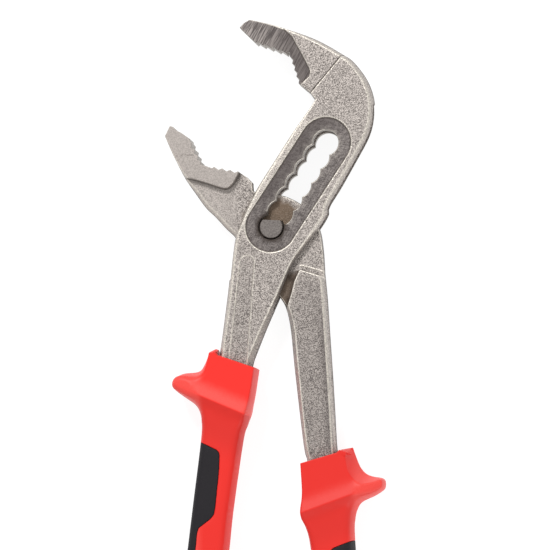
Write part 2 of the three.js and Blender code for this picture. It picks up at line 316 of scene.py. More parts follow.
class Relief:
    """Height and masks of a piece at given points, with the creases that its mesh follows."""

    def __init__(self, p):
        self.top = None
        for name in MASKS:
            setattr(self, name, np.zeros(len(p)))
        self.creases = []

    def crease(self, field, levels):
        self.creases.append((field, levels))

    def sink(self, depth, low, reach, radius, high=BODY_HALF, dirt_and_shade=0.0, shine=1.0):
        """Lowers the top to low inside a zone, where depth is positive, with dirt and painted shade at its
        foot.
        """
        height, into = rise(-depth, low, high, reach, radius)
        height = np.where(depth >= 0, low, np.where(into <= 0, np.inf, height))
        rim = (depth < 0) & (height <= self.top + 1e-6)
        # The rim above the wall is lightened as wear and a painted highlight.
        self.wear_and_highlight = np.maximum(self.wear_and_highlight, shine * worn(into) * rim)
        self.top = np.minimum(self.top, height)
        self.crease(into, ROUND_LEVELS)
        self.crease(depth, (0.0, 0.15))
        if dirt_and_shade:
            foot = 1 - smooth_step((np.abs(depth - 0.1) - 0.1) / 0.35)
            self.dirt_and_shade = np.maximum(self.dirt_and_shade, dirt_and_shade * foot)
            self.crease(depth, (0.55,))

    def wall(self, depth, draft, radius, full=BODY_HALF):
        """Drops the front to the silhouette with each stretch's own draft and radius."""
        cut = np.clip((0.6 - draft) / 0.45, 0, 1)
        base = FLASH + cut * np.maximum(self.top - 0.15 - FLASH, 0)
        reach = draft * np.where(cut > 0.99, 1, (self.top - base) / (full - base))
        height, into = rise(depth, base, self.top, np.maximum(reach, 0.02), radius)
        # Rounded top edge lightened as wear and a painted highlight.
        self.wear_and_highlight = np.maximum(self.wear_and_highlight, worn(into) * (height < self.top + 1e-6) * (1 - 0.7 * cut))
        # Forged walls darkened towards the silhouette as painted shade.
        self.dirt_and_shade = np.maximum(self.dirt_and_shade, (1 - cut) * (1 - smooth_step(depth / 0.3)))
        self.top = height
        self.crease(into, ROUND_LEVELS)
        self.crease(depth, (0.3,))


# ---- reliefs of the pieces ----
# A zone is a closed loop; where it runs past the outline, only its other sides matter.
JAW_ZONE = [[28.1, 68.2], [40, 80], [-20, 96], [-30, 70], [5, 46], [15.8, 53.6]]
GROUND_ZONE = [[5.3, 79.6], [8.3, 76.9], [11.9, 70.3], [15.2, 64], [15.7, 62.3], [15.2, 60.4],
               [10, 55.6], [-25, 66], [-20, 96], [4, 90]]
LOWER_JAW_ZONE = [[-50, 26], [-35.4, 20.6], [-31.4, 19.7], [-25.2, 17.7], [-20.6, 16.1],
                  [-19, 15.7], [-17.6, 15.9], [-16.4, 16.7], [-15.2, 18], [-12.2, 23.4], [-12, 50], [-50, 50]]
RIGHT_HANDLE_ZONE = edge([[11.0, -17.8], [11.4, -17.3], [12.3, -17.3], [19.1, -19.4], [29.5, -22.7],
                          [60, -100], [60, -200], [0, -200], [3, -60], [5, -36], [6.4, -31.5],
                          [7.7, -27.5], [9.1, -22], [10.7, -18.4]], .3, .5)
RIGHT_PANEL = [[12.2, -19.8], [19.3, -21.9], [20.7, -25.7], [21.6, -37.7], [22.2, -47.6], [23.2, -59.5],
               [23.7, -69.4], [24.5, -81.3], [26, -100], [15.5, -100], [13.2, -77.2], [11.9, -65.4],
               [10.7, -53.4], [9.7, -41.5], [8.6, -35], [8.5, -31.5], [10, -25.5]]
FORGING_BEAD = [[11.2, -15.6], [12.6, -15.5], [19.8, -17.7], [24, -19.1]]
HARDENING_LINE = [[-38.6, 29.2], [-36.7, 29.4], [-35.4, 30.0], [-34.2, 29.5], [-32.9, 29.6], [-30.6, 29.3]]
LEFT_PANEL = ((-9.6, -14.4), (-13.6, -58.0), 2.6, 3.4)  # round top, lower end, half widths
LEFT_PANEL_DEPTH = 0.3
RIGHT_PANEL_DEPTH = 0.25
SLOT_CHAMFER = 0.25
HIGHLIGHT_RIM = 4.9  # width from the outline to the pocket within which the rim left of the slot is painted lighter as a highlight
PIN_RING = 6.6  # how far from the pin the slot's edge is dirty
OIL_RING = 12.6  # how far from the pin the tongue is stained brown with oil, partly as painted shade
CROOK = (12.0, -17.2)  # below and left of this point the tongue is painted brown and dark as shade between the levers
PANEL_OUTER = (15.6, -0.07)  # x, and its change with y, where a painted shadow darkens the right panel outwards
WINDOW = [[16.9, 50.8], [20.8, 49.2], [24.5, 50.6], [32, 51.2], [40.5, 49], [52, 49], [46, 20],
          [30, -10], [5, -34], [0.5, -33.2], [-0.9, -29.8], [-8, -17.2], [-14.5, -19.4], [-19.5, -21.8],
          [-28, -18], [-28, 0], [4, 44]]

SLOTTED_OUTLINE = slotted_lever_outline()
THROUGH_OUTLINE = through_lever_outline()
SLOT_LOOP = scalloped_slot()


def slotted_lever_relief(p):
    """Two cheeks with the slot in its pocket, the stepped upper jaw and the left panel."""
    r = Relief(p)
    r.top = np.full(len(p), BODY_HALF)
    r.sink(depth_in(p, JAW_ZONE)[0], JAW_HALF, .3, .45, dirt_and_shade=.9)
    ground, _ = depth_in(p, GROUND_ZONE)
    taper = 0.7 * np.clip((14 - p[:, 0]) / 26, 0, 1) ** 1.5
    r.sink(ground, GROUND_HALF - taper, .2, .35, JAW_HALF, dirt_and_shade=.5)
    pocket = -capsule(p, slot_point(0), slot_point(SLOT_TRAVEL), POCKET_R)
    r.sink(pocket, BODY_HALF - POCKET_DEPTH, .2, .5, dirt_and_shade=.6)
    (tx, ty), (bx, by), half_top, half_low = LEFT_PANEL
    down = np.clip((ty - p[:, 1]) / (ty - by), 0, 1.2)
    half = half_top + (half_low - half_top) * down
    spine = np.stack([tx + (bx - tx) * down, np.minimum(p[:, 1], ty)], 1)
    panel = half - np.linalg.norm(p - spine, axis=1)
    r.sink(panel, BODY_HALF - LEFT_PANEL_DEPTH, .45, .5)
    slot, _ = depth_in(p, SLOT_LOOP)
    chamfer, into = rise(-slot, r.top - SLOT_CHAMFER, r.top, SLOT_CHAMFER, 0.1)
    by_pin = smooth_step((PIN_RING - np.linalg.norm(p, axis=1)) / 0.7)
    # The slot's chamfer is lightened as wear and a painted highlight, except near the pin.
    r.wear_and_highlight = np.maximum(r.wear_and_highlight, worn(into / 2) * (1 - by_pin))
    r.dirt_and_shade = np.maximum(r.dirt_and_shade, by_pin * smooth_step((0.8 + slot) / 0.5))
    r.top = np.minimum(r.top, chamfer)
    r.crease(into, (-0.6, 0.0, 0.6))
    depth, extra = depth_in(p, SLOTTED_OUTLINE)
    r.wall(depth, extra[:, 0], extra[:, 1])
    along, across = slot_axes(p)
    # Rim left of the slot, between the outline and the pocket, painted lighter as a highlight.
    rim = smooth_step((HIGHLIGHT_RIM - depth + pocket) / 0.8) * smooth_step(-pocket / .3) * (across > 0)
    r.wear_and_highlight = np.maximum(r.wear_and_highlight, 0.32 * rim)
    in_pocket, in_ground = smooth_step(pocket / .15), smooth_step(ground / .15)
    r.ground = np.maximum(in_pocket, in_ground)
    r.stripe = in_ground
    up_slot = smooth_step((along - 1) / 9)
    r.dark = np.maximum(in_pocket * (0.82 + up_slot * (0.22 + 0.07 * np.clip(across, -5, 5))),
                        in_ground * 1.35 * smooth_step((p[:, 0] + 14) / 24))
    r.dark = np.maximum(r.dark, 0.22 * smooth_step(panel / 0.6))
    return r


def through_lever_relief(p):
    """Thin tongue that steps up to the lower jaw and to the right handle with its panel."""
    r = Relief(p)
    jaw, _ = depth_in(p, LOWER_JAW_ZONE)
    handle, handle_edge = depth_in(p, RIGHT_HANDLE_ZONE)
    jaw_plate, jaw_into = rise(jaw, TONGUE_HALF, JAW_HALF, .2, .3)
    handle_plate, handle_into = rise(handle, TONGUE_HALF, BODY_HALF, handle_edge[:, 0], handle_edge[:, 1])
    jaw_plate = np.where(jaw > 0, jaw_plate, TONGUE_HALF)
    handle_plate = np.where(handle > 0, handle_plate, TONGUE_HALF)
    r.top = np.maximum(jaw_plate, handle_plate)
    # Rounded edges of the steps, the jaw's faintly, and the bead are lightened as wear and a painted
    # highlight.
    r.wear_and_highlight = np.maximum(worn(jaw_into) * (jaw > 0) * 0.2, worn(handle_into) * (handle > 0))
    bead = along_line(p, FORGING_BEAD)
    r.wear_and_highlight = np.maximum(r.wear_and_highlight, (1 - smooth_step(bead / 0.5)) * (handle <= 0))
    r.top = r.top + BEAD_RISE * (1 - smooth_step(bead / 0.35)) * (handle <= 0)
    r.crease(bead, (0.12, 0.35, 0.5))
    r.crease(jaw_into, ROUND_LEVELS)
    r.crease(handle_into, ROUND_LEVELS)
    r.crease(jaw, (0.0, -0.5))
    r.crease(handle, (0.0, -0.1))
    panel, _ = depth_in(p, RIGHT_PANEL)
    r.sink(panel, BODY_HALF - RIGHT_PANEL_DEPTH, .3, .4, shine=.35)
    r.top = np.where(handle > 0, np.minimum(r.top, handle_plate), r.top)
    depth, extra = depth_in(p, THROUGH_OUTLINE)
    r.wall(depth, extra[:, 0], extra[:, 1])
    r.calm = np.maximum(0.85 * smooth_step(jaw / .15), 0.6 * smooth_step((-13 - p[:, 0]) / 3))
    # Tongue round the pin browned with oil, partly as painted shade under the cheeks.
    r.oil = smooth_step((OIL_RING - np.linalg.norm(p, axis=1)) / 0.8) * (jaw < -0.5)
    # Dirt and painted shade along the foot of the jaw's step.
    r.dirt_and_shade = np.maximum(r.dirt_and_shade, 0.6 - 0.6 * smooth_step((np.abs(jaw + 0.05) - 0.1) / 0.25))
    # Painted shade in the crook between the levers, darkest by the handle's wall and towards the top.
    crook = smooth_step((CROOK[0] - p[:, 0]) / 0.6) * smooth_step((CROOK[1] - p[:, 1]) / 0.8)
    crook = crook * (handle < 0.2)
    r.oil = np.maximum(r.oil, 0.9 * crook)
    corner = np.maximum(smooth_step((handle + 1.7) / 1.1), smooth_step((p[:, 1] + 22) / 4))
    r.dirt_and_shade = np.maximum(r.dirt_and_shade, crook * (0.2 + 0.7 * corner))
    line = along_line(p, HARDENING_LINE)
    r.dirt_and_shade = np.maximum(r.dirt_and_shade, 0.5 * (1 - smooth_step(line / 0.25)))
    r.crease(line, (0.06, 0.3))
    r.dark = np.maximum(0.42 * smooth_step(panel / 0.6), 0.12 * smooth_step(jaw / .15))
    # Painted shadow darkening the right panel towards its outer rim.
    outward, slant = PANEL_OUTER
    outer = smooth_step((p[:, 0] - outward - slant * p[:, 1]) / 3.0) * smooth_step((-22 - p[:, 1]) / 22)
    r.dark = r.dark + 0.85 * outer * smooth_step(panel / 0.3)
    return r


def pin_relief(p):
    """D-shaped above the tongue; a collar inside the tongue fills its bore."""
    r = Relief(p)
    flat = PIN_FLAT - p @ np.array([math.cos(FLAT_ANGLE), math.sin(FLAT_ANGLE)])
    round_depth = PIN_R - np.linalg.norm(p, axis=1)
    shoulder = TONGUE_HALF - SHOULDER_DROP
    face, into = rise(flat, TONGUE_HALF, PIN_HALF, .03, .15)
    edge_height, edge_into = rise(round_depth, shoulder, face, .1, .1)
    edge_height = np.where(round_depth <= 0, shoulder, edge_height)
    r.top = np.where(flat > 0, np.minimum(face, edge_height), TONGUE_HALF)
    r.crease(into, (-0.4, 0.0, 0.5, 0.9))
    r.crease(flat, (0.0, -0.03))
    r.crease(edge_into, (-0.4, 0.5))
    r.crease(round_depth, (0.0, 0.1, 0.3, 0.5))
    # Painted shade of the gap round the pin darkens the D face's round edge; beyond the flat, level with the
    # tongue, the pin is painted brown as shade like the tongue.
    r.dirt_and_shade = smooth_step((0.5 - round_depth) / 0.2) * (flat > 0)
    r.ground = np.ones(len(p)) * 0.3
    r.oil = (flat < 0) * 0.95
    r.dark = np.where(flat < 0, 0.2, 0.75)
    return r


# ---- grips ----
# Columns: x, y, draft, edge radius. Both grips are drawn on the left handle.
LEFT_GUARD = [[-25.5, -49.5, 1.4, .4], [-27.6, -54.8, 2.4, 1.4], [-29.9, -57.4, 3.0, 2.4],
              [-35.4, -58.0, 1.8, 2.6], [-38.3, -59.2, .9, 2.2], [-39.8, -61.2, .6, 2.0],
              [-39.9, -63.7, .6, 2.0], [-38.5, -65.4, .8, 2.0], [-34.8, -68, 1.3, 2.2],
              [-31.2, -70.6, 1.8, 3.0], [-29.4, -73.4, 1.9, 3.2], [-28.7, -77, 1.7, 3.4]]
RIGHT_GUARD = [[-26.2, -48.9, 3.6, .5], [-27.7, -52.6, 4.6, .7], [-29.6, -56.5, 5.6, 1.0],
               [-31.9, -58.9, 5.2, 1.2], [-34.6, -59.9, 3.4, 1.0], [-38.6, -60.4, 1.0, .8],
               [-39.9, -61.6, 1.0, .8], [-40, -63.8, 1.0, .8], [-39.1, -65.3, 1.0, .9],
               [-36, -67.5, 1.2, 1.3], [-31.1, -70.2, 1.7, 2.2], [-29.3, -73.2, 2.0, 3.0],
               [-28.6, -77, 1.8, 3.4]]
OUTER_SIDE = [[-28.8, -84, 1.6, 3.4], [-31.8, -108.5, 1.6, 3.4], [-34.2, -128.4, 1.6, 3.4],
              [-36.4, -148, 1.6, 3.4], [-37.6, -158, 1.8, 3.4], [-36, -164.5, 2.0, 3.4],
              [-31, -166.3, 2.2, 3.4]]
INNER_SIDE = [[-25, -164.6, 2.0, 3.4], [-22, -158, 1.6, 3.4], [-19.7, -145, 1.6, 3.4],
              [-17.4, -128.4, 1.6, 3.4], [-15.7, -112.5, 1.6, 3.4]]
LEFT_END = [[-11.8, -85.4, 1.5, 3.0], [-10.1, -78.8, 1.2, 2.0], [-8.9, -74.2, .8, 1.0],
            [-8.3, -70.9, .7, .7], [-7.4, -65.7, .6, .5], [-6.1, -56.4, .5, .4]]
RIGHT_END = [[-11.7, -91, 1.5, 3.0], [-10.3, -84.8, 1.4, 2.4], [-8.9, -81.2, 1.2, 1.8],
             [-7.4, -78.4, .9, 1.2], [-6.8, -75, .8, .9], [-7.2, -70, .7, .7], [-7.1, -65.7, .6, .5],
             [-6.1, -56.4, .5, .4]]
LEFT_LIP = [[-6.5, -56.2, .3, .35], [-20.6, -51.3, .3, .4], [-20.9, -51.1, .6, .4],
            [-21.3, -48.9, 2.4, .4], [-22.9, -48.3, 2.2, .4]]
RIGHT_LIP = [[-6.5, -56.2, .3, .35], [-20.6, -51.3, .3, .4], [-21.4, -50, .5, .4]]
TANG_CAVITY = [[-21.3, -40], [-21.9, -50.5], [-24.6, -66], [-29.5, -110], [-33, -147], [-29, -149],
               [-24.5, -147], [-19.5, -110], [-12.1, -75], [-6.8, -53], [-3.6, -44]]
INLAY_ZONE = [[-50, -75.5], [-21.4, -88.8], [-20.3, -89.9], [-20, -91.2], [-20.2, -97], [-21.7, -112.4],
              [-22.2, -114.6], [-23.5, -116.2], [-28.2, -119.8], [-28.8, -121.5], [-30.2, -136],
              [-31.8, -152], [-36, -157], [-50, -157]]
RIDGE_START, RIDGE_END = np.array([-38.2, -63.0]), np.array([-8.2, -75.7])

# Half heights of a grip's front, by the distance above the ridge.
HANDLE_COURSE = [(-46, 9.3), (-24, 8.75), (-10, 8.35), (-4.2, 8.35), (1.5, 10.4)]
SCOOP_HALF = 8.45
COLLAR_START, COLLAR_CLIMB, COLLAR_BEND, COLLAR_FALL = 5.0, 0.18, 0.6, 0.02
RIDGE_BLEND = 0.5
GUARD_TIP_HALF, GUARD_RISE = 7.7, 2.5


class Grip:
    """Sleeve and inlay of one grip, which share one outer surface.

    shade is how much painted shade darkens the whole sleeve, 0 for none.
    """

    def __init__(self, guard, end, lip, shade):
        self.shade = shade
        self.outline = spline(guard + OUTER_SIDE, 150) + spline(INNER_SIDE + end, 100) + lip

    def above(self, p):
        """Distance towards the jaws from the ridge that runs out to the guard."""
        run = (RIDGE_END - RIDGE_START) / np.linalg.norm(RIDGE_END - RIDGE_START)
        return (p - RIDGE_START) @ np.array([-run[1], run[0]])

    def top(self, p):
        """Height of the front: collar, scoop, ridge to the guard, then the handle."""
        above = self.above(p)
        climb = SCOOP_HALF + COLLAR_CLIMB * np.logaddexp(0, (COLLAR_START - above) / COLLAR_BEND)
        climb = climb - COLLAR_FALL * np.maximum(above - COLLAR_START, 0)
        fall = course(above, HANDLE_COURSE)
        blend = np.clip(0.5 + (fall - climb) / RIDGE_BLEND, 0, 1)
        ridge = fall * (1 - blend) + climb * blend - RIDGE_BLEND / 2 * blend * (1 - blend)
        outward = np.clip((p[:, 0] + 40) / 14, 0, 1)
        guard = GUARD_TIP_HALF + GUARD_RISE * outward
        below_guard = smooth_step((-above - 9) / 6)
        return np.minimum(ridge, guard * (1 - below_guard) + GRIP_HALF * below_guard)

    def depths(self, p):
        """Depth inside the whole grip, with its drafts, and depth inside the inlay's zone."""
        depth, extra = depth_in(p, self.outline)
        return depth, extra, depth_in(p, INLAY_ZONE)[0]

    def sleeve(self, p):
        r = Relief(p)
        depth, extra, zone = self.depths(p)
        pocket = smooth_step(zone / .06)
        above = self.above(p)
        r.top = self.top(p)
        # Painted highlight on the scoop under the collar, less on a shaded sleeve, and on the outer side.
        scoop = smooth_step((above + 0.2) / 0.9) * (1 - smooth_step((above - 2.6) / 4.4))
        outward = smooth_step((-26.5 - p[:, 0]) / 3)
        r.oil = np.maximum(scoop * (1 - 1.3 * self.shade), 0.8 * outward)
        # Painted shade below the ridge and over a shaded sleeve, fading down the handle.
        below = smooth_step((-above + 0.1) / 0.5)
        r.dark = np.maximum(below, self.shade) * (1 - 0.6 * smooth_step((-above - 10) / 12))
        r.crease(above, (-0.4, -0.15, 0.1, 0.45, 0.9, 2.6, 4.8, 7.0))
        r.wall(depth - INLAY_DEPTH * pocket, extra[:, 0], extra[:, 1], GRIP_HALF)
        r.top = np.maximum(r.top - (INLAY_DEPTH - HOLLOW_CLEARANCE) * pocket, FLASH)
        lip, into = rise(-zone, 0.3, 0.6, .1, .25)
        r.top = r.top + np.where(zone < 0, lip - 0.6, 0)
        r.crease(into, (0.0, 0.5, 0.9))
        r.crease(zone, (0.0, 0.06))
        return r

    def inlay(self, p):
        r = Relief(p)
        depth, extra, zone = self.depths(p)
        r.top = self.top(p)
        r.wall(depth, extra[:, 0], extra[:, 1], GRIP_HALF)
        lip, into = rise(zone - INLAY_GAP, 0.3, 0.6, .1, .25)
        r.top = np.maximum(r.top + lip - 0.6, FLASH)
        r.crease(into, (0.0, 0.5, 0.9))
        return r

    def core(self, p):
        """What the inlay is hollow around: the sleeve's sunk face."""
        r = Relief(p)
        depth, extra, _ = self.depths(p)
        r.top = self.top(p)
        r.wall(depth - INLAY_DEPTH + HOLLOW_CLEARANCE, extra[:, 0], extra[:, 1], GRIP_HALF)
        r.top = np.maximum(r.top - INLAY_DEPTH + 2 * HOLLOW_CLEARANCE, FLASH)
        return r

    def sleeve_domain(self, p):
        depth, _, zone = self.depths(p)
        return np.minimum(depth, np.maximum(-zone, depth - INLAY_DEPTH))

    def inlay_domain(self, p):
        depth, _, zone = self.depths(p)
        return np.minimum(depth, zone - INLAY_GAP)

    def core_domain(self, p):
        return self.depths(p)[0] - INLAY_DEPTH + HOLLOW_CLEARANCE

    def build(self, side):
        """Sleeve and inlay meshes on the left handle."""
        sleeve = relief_mesh(side + "_sleeve_moulding", self.sleeve, domain=self.sleeve_domain,
                             around=self.outline)
        subtract(sleeve, prism("tang_cavity", TANG_CAVITY, BODY_HALF + GAP))
        mask(sleeve, self.sleeve)
        inlay = relief_mesh(side + "_inlay_moulding", self.inlay, domain=self.inlay_domain,
                            around=self.outline)
        subtract(inlay, relief_mesh("inlay_core", self.core, domain=self.core_domain,
                                    around=self.outline, pitch=CORE_PITCH))
        return sleeve, inlay


# ---- meshing ----
def grid_over(loops, pitch):
    """Square grid of points over the loops, its size and its lowest corner."""
    points = np.concatenate([np.array(loop, float)[:, :2] for loop in loops])
    low = points.min(0) - 2 * pitch
    size = np.ceil((points.max(0) + 2 * pitch - low) / pitch).astype(int) + 1
    x = low[0] + pitch * np.arange(size[0])
    y = low[1] + pitch * np.arange(size[1])
    gx, gy = np.meshgrid(x, y, indexing="ij")
    return np.stack([gx.ravel(), gy.ravel()], 1), size, low


def contour(values, low, pitch, level):
    """Chains of points along one level of a field on a grid."""
    v = values - level
    v = np.where(np.abs(v) < 1e-9, 1e-9, v)
    sign = v > 0
    corner = sign[:-1, :-1]
    mixed = (corner != sign[1:, :-1]) | (corner != sign[:-1, 1:]) | (corner != sign[1:, 1:])
    where = {}
    links = {}

    def cross(i0, j0, i1, j1):
        t = v[i0, j0] / (v[i0, j0] - v[i1, j1])
        key = (i0, j0, i1, j1)
        where[key] = (low[0] + pitch * (i0 + (i1 - i0) * t), low[1] + pitch * (j0 + (j1 - j0) * t))
        return key

    for i, j in zip(*np.nonzero(mixed)):
        keys = []
        if sign[i, j] != sign[i + 1, j]:
            keys.append(cross(i, j, i + 1, j))
        if sign[i + 1, j] != sign[i + 1, j + 1]:
            keys.append(cross(i + 1, j, i + 1, j + 1))
        if sign[i, j + 1] != sign[i + 1, j + 1]:
            keys.append(cross(i, j + 1, i + 1, j + 1))
        if sign[i, j] != sign[i, j + 1]:
            keys.append(cross(i, j, i, j + 1))
        for a, b in zip(keys[::2], keys[1::2]):
            links.setdefault(a, []).append(b)
            links.setdefault(b, []).append(a)
    chains = []
    ends = [k for k in links if len(links[k]) == 1]
    for start in ends + list(links):
        while links.get(start):
            chain = [start]
            while links.get(chain[-1]):
                step = links[chain[-1]].pop()
                links[step].remove(chain[-1])
                chain.append(step)
            chains.append(np.array([where[k] for k in chain]))
    return chains


def thinned(chain):
    """Drops the points of a chain that a straight run doesn't need."""
    keep = [0]
    i = 0
    while i < len(chain) - 1:
        best = i + 1
        for j in range(i + 2, min(i + 40, len(chain))):
            run = chain[j] - chain[i]
            length = np.linalg.norm(run)
            if length < 1e-6 or length > LONGEST_STEP:
                break
            off = chain[i + 1:j] - chain[i]
            if np.abs(off[:, 0] * run[1] - off[:, 1] * run[0]).max() > STRAIGHT * length:
                break
            best = j
        keep.append(best)
        i = best
    return chain[keep]


def divided(loop):
    """A closed loop with no step over LONGEST_STEP."""
    points = np.array(loop, float)[:, :2]
    made = []
    for a, b in zip(points, np.roll(points, -1, 0)):
        count = max(1, math.ceil(np.linalg.norm(b - a) / LONGEST_STEP))
        made += [a + (b - a) * k / count for k in range(count)]
    return np.array(made)


def relief_mesh(name, shape, loops=None, domain=None, around=None, pitch=PITCH):
    """Closed mesh of a relief. The domain is given by loops, or by a field over the outline."""
    grid, size, low = grid_over(loops or [around], pitch)
    sample = shape(grid)
    if loops is None:
        loops = [thinned(c)[:-1] for c in contour(domain(grid).reshape(size), low, pitch, 0.0)]
        loops = [loop for loop in loops if len(loop) > 8]
    within = inside(grid, loops)
    chains = []
    for field, levels in sample.creases:
        for level in levels:
            chains += [thinned(c) for c in contour(field.reshape(size), low, pitch, level) if len(c) > 3]
    points, edges = [], []
    for loop in loops:
        ring = divided(loop)
        first = len(points)
        points += [tuple(q) for q in ring]
        edges += [(first + i, first + (i + 1) % len(ring)) for i in range(len(ring))]
    for chain in chains:
        first = len(points)
        keep = inside(chain, loops)
        points += [tuple(q) for q in chain]
        edges += [(first + i, first + i + 1) for i in range(len(chain) - 1) if keep[i] and keep[i + 1]]
    loose = grid[within]
    step = max(1, round(LOOSE_PITCH / pitch))
    index = np.round((loose - low) / pitch).astype(int)
    loose = loose[(index[:, 0] % step == 0) & (index[:, 1] % step == 0)]
    points += [tuple(q) for q in loose]
    flat, _, faces = delaunay_2d_cdt([Vector(q) for q in points], edges, [], 0, WELD, False)[:3]
    flat = np.array([tuple(q) for q in flat])
    faces = np.array([f for f in faces if len(f) == 3])
    faces = faces[inside(flat[faces].mean(1), loops)]
    used, faces = np.unique(faces, return_inverse=True)
    faces = faces.reshape(-1, 3)
    flat = flat[used]
    return closed_mesh(name, flat, faces, shape(flat).top)


def closed_mesh(name, flat, faces, top):
    """Front, back and the band that joins them."""
    a, b, c = (flat[faces[:, k]] for k in range(3))
    turned = (b[:, 0] - a[:, 0]) * (c[:, 1] - a[:, 1]) - (b[:, 1] - a[:, 1]) * (c[:, 0] - a[:, 0]) < 0
    faces[turned] = faces[turned][:, ::-1]
    count = len(flat)
    sides = set()
    for f in faces:
        sides.update((int(f[k]), int(f[(k + 1) % 3])) for k in range(3))
    rim = [(i, j) for i, j in sides if (j, i) not in sides]
    vertices = np.concatenate([np.column_stack([flat, top]), np.column_stack([flat, -top])])
    polygons = [tuple(f) for f in faces.tolist()]
    polygons += [(i + count, k + count, j + count) for i, j, k in faces.tolist()]
    polygons += [(j, i, i + count, j + count) for i, j in rim]
    mesh = bpy.data.meshes.new(name)
    mesh.from_pydata(vertices.tolist(), [], polygons)
    mesh.validate()
    piece = bpy.data.objects.new(name, mesh)
    bpy.context.scene.collection.objects.link(piece)
    return piece


def prism(name, loop, half):
    """Straight-sided cutter."""
    ring = np.array(loop, float)[:, :2]
    area = (ring[:, 0] * np.roll(ring[:, 1], -1) - ring[:, 1] * np.roll(ring[:, 0], -1)).sum()
    ring = ring if area > 0 else ring[::-1]
    n = len(ring)
    vertices = [(x, y, z) for z in (half, -half) for x, y in ring]
    polygons = [tuple(range(n)), tuple(range(2 * n - 1, n - 1, -1))]
    polygons += [(i, i + n, (i + 1) % n + n, (i + 1) % n) for i in range(n)]
    mesh = bpy.data.meshes.new(name)
    mesh.from_pydata(vertices, [], polygons)
    cutter = bpy.data.objects.new(name, mesh)
    bpy.context.scene.collection.objects.link(cutter)
    return cutter


def subtract(piece, cutter):
    """Cuts the cutter out of the piece and deletes the cutter."""
    modifier = piece.modifiers.new("cut", "BOOLEAN")
    modifier.operation = "DIFFERENCE"
    modifier.solver = "EXACT"
    modifier.object = cutter
    graph = bpy.context.evaluated_depsgraph_get()
    mesh = bpy.data.meshes.new_from_object(piece.evaluated_get(graph))
    piece.modifiers.clear()
    piece.data = mesh
    bpy.data.objects.remove(cutter)


def mask(piece, shape):
    """Stores each of the MASKS on the mesh's points, worked out by the piece's own relief."""
    count = len(piece.data.vertices)
    co = np.empty(count * 3)
    piece.data.vertices.foreach_get("co", co)
    co = co.reshape(-1, 3)
    sample = shape(co[:, :2].copy())
    on_face = np.abs(co[:, 2]) > sample.top - FACE_BAND
    for name in MASKS:
        values = getattr(sample, name) * on_face
        layer = piece.data.attributes.new(name, "FLOAT", "POINT")
        layer.data.foreach_set("value", values.astype(np.float32))


def settle(piece, crisp):
    """Millimetres round the pin to metres in the frame, and smooth shading up to an angle."""
    piece.data.transform(Matrix.Translation(PIN) @ Matrix.Scale(MM, 4))
    piece.data.shade_smooth()
    piece.data.set_sharp_from_angle(angle=math.radians(crisp))


def onto_right_handle(piece):
    """Moves a piece drawn on the left handle to the right one, which mirrors it."""
    mesh = piece.data
    co = np.empty(len(mesh.vertices) * 3)
    mesh.vertices.foreach_get("co", co)
    co = co.reshape(-1, 3)
    co[:, :2] = to_right_handle(co[:, :2])
    mesh.vertices.foreach_set("co", co.ravel())
    mesh.flip_normals()


# ---- materials ----
FORGED_COLOURS = (0.60, 0.545, 0.505, 1), (0.12, 0.105, 0.097, 1)
TURNED_COLOURS = (0.34, 0.31, 0.285, 1), (0.2, 0.18, 0.165, 1)
BRUSHED_COLOURS = (0.10, 0.087, 0.084, 1), (0.40, 0.36, 0.338, 1)
# Colour that the dark mask pulls towards: darker tone, and painted shadow beside the right panel's rim.
SHADED_COLOUR = (0.07, 0.057, 0.055, 1)
# Brown of oil, partly painted shade on the tongue and the pin under the cheeks.
OIL_AND_SHADE_COLOURS = (0.13, 0.088, 0.056, 1), (0.18, 0.128, 0.088, 1)
# Worn edges, lightened as a painted highlight too.
WORN_AND_HIGHLIGHT_COLOUR = (0.86, 0.80, 0.71, 1)
# Even grey of near-upright walls, a painted reflection of the bright surroundings.
SIDE_WALL_REFLECTION_COLOUR = (0.42, 0.395, 0.37, 1)
# Dirt, and painted shade in corners, at the feet of steps and along silhouettes.
DIRT_AND_SHADE_COLOUR = (0.04, 0.028, 0.022, 1)
# Moulded colours: the colour, a deeper one for tone and painted shade, and a paler one for the painted
# highlight.
RED_COLOURS = (0.87, 0.03, 0.022, 1), (0.69, 0.028, 0.021, 1), (0.86, 0.085, 0.07, 1)
BLACK_COLOURS = (0.011, 0.009, 0.012, 1), (0.008, 0.007, 0.009, 1), (0.02, 0.018, 0.02, 1)
FLOOR_COLOURS = (0.20, 0.20, 0.20, 1), (0.23, 0.23, 0.23, 1)

# Texture scales, per metre.
CELL_SCALE = 3900
SPECK_SCALE = 3400
GRIT_SCALE = 2700
BLOTCH_SCALE = 140
BRUSH_SCALE = 3300
STRIPE_SCALE = 2300
TONE_SCALE = 45
FLOOR_SCALE = 220

BRUSH_STRETCH = (0.12, 1, 1)
STRIPE_STRETCH = (0.05, 1, 1)
BRUSH_TURN = SLOT_ANGLE + 0.05
CROSS_TURN = SLOT_ANGLE - 1.25


